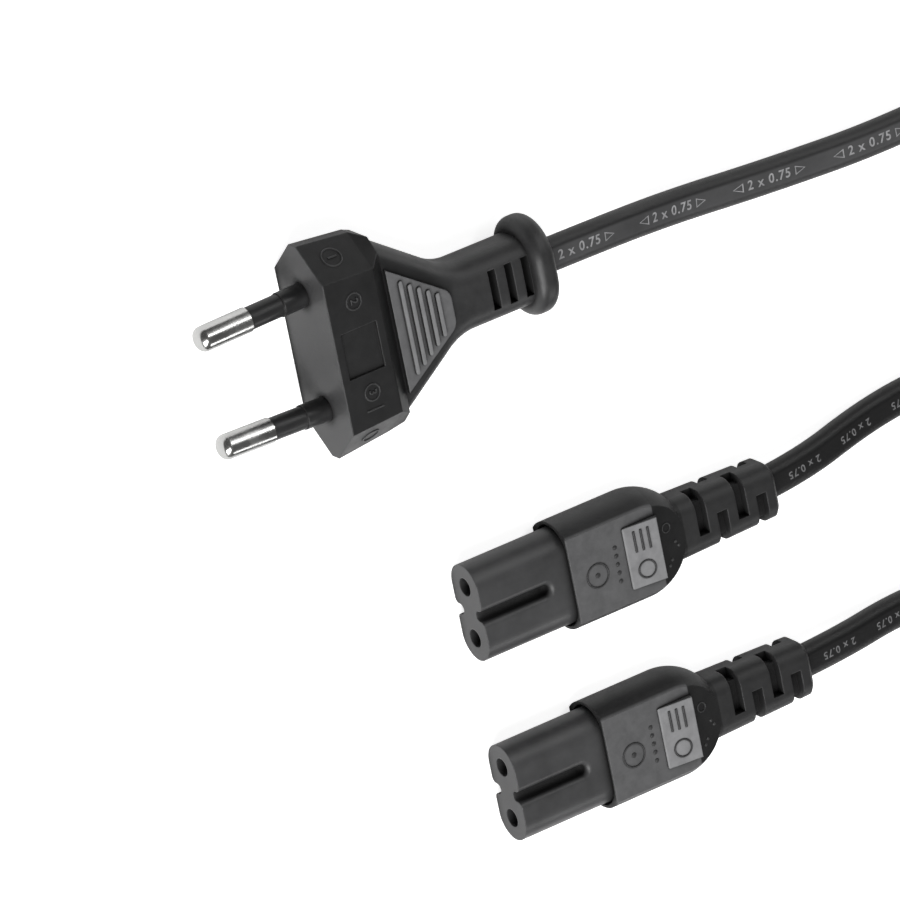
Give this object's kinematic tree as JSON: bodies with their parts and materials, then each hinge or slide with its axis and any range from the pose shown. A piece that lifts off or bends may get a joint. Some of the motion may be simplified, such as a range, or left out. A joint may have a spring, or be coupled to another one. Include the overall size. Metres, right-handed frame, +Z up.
{
  "type": "figure eight power connector lead",
  "caption": "Flat black mains lead that splits from a two-pin plug to a pair of figure eight appliance connectors, with its slack coiled and tied.",
  "frame": {"origin": "on the floor, in the middle of the box around the plug and the two connectors", "axes": "+X across the connectors, from the plug to the second connector; +Y from the pins and noses towards the cords; +Z up"},
  "size_m": [0.1127, 0.2487, 0.0137],
  "materials": {
    "soft_black": "satin, finely grained",
    "hard_black": "satin",
    "cord_sheath": "satin",
    "nickel": "bright nickel",
    "brass": "bare",
    "bridge_plastic": "matt",
    "core_brown": "satin",
    "core_blue": "satin",
    "tinned": "tinned",
    "tie": "matt"
  },
  "bodies": {
    "root": {"plug_body": "soft_black", "grip_a": "soft_black", "grip_b": "soft_black", "splitter_body": "soft_black", "nose_carrier_a": "hard_black", "nose_carrier_b": "hard_black", "pin_sleeve_left": "hard_black", "pin_sleeve_right": "hard_black", "main_cord": "cord_sheath", "main_cord_tail": "cord_sheath", "branch_cord_a": "cord_sheath", "branch_cord_b": "cord_sheath", "main_coil": "cord_sheath", "pin_left": "nickel", "pin_right": "nickel", "contact_left_a": "brass", "contact_right_a": "brass", "contact_left_b": "brass", "contact_right_b": "brass", "pin_bridge": "bridge_plastic", "plug_core_left": "core_brown", "core_left_a": "core_brown", "core_left_b": "core_brown", "splice_core_live_main": "core_brown", "splice_core_live_a": "core_brown", "splice_core_live_b": "core_brown", "plug_core_right": "core_blue", "core_right_a": "core_blue", "core_right_b": "core_blue", "splice_core_neutral_main": "core_blue", "splice_core_neutral_a": "core_blue", "splice_core_neutral_b": "core_blue", "splice_live": "tinned", "splice_neutral": "tinned", "coil_tie_1": "tie", "coil_tie_2": "tie"}
  },
  "joints": []
}
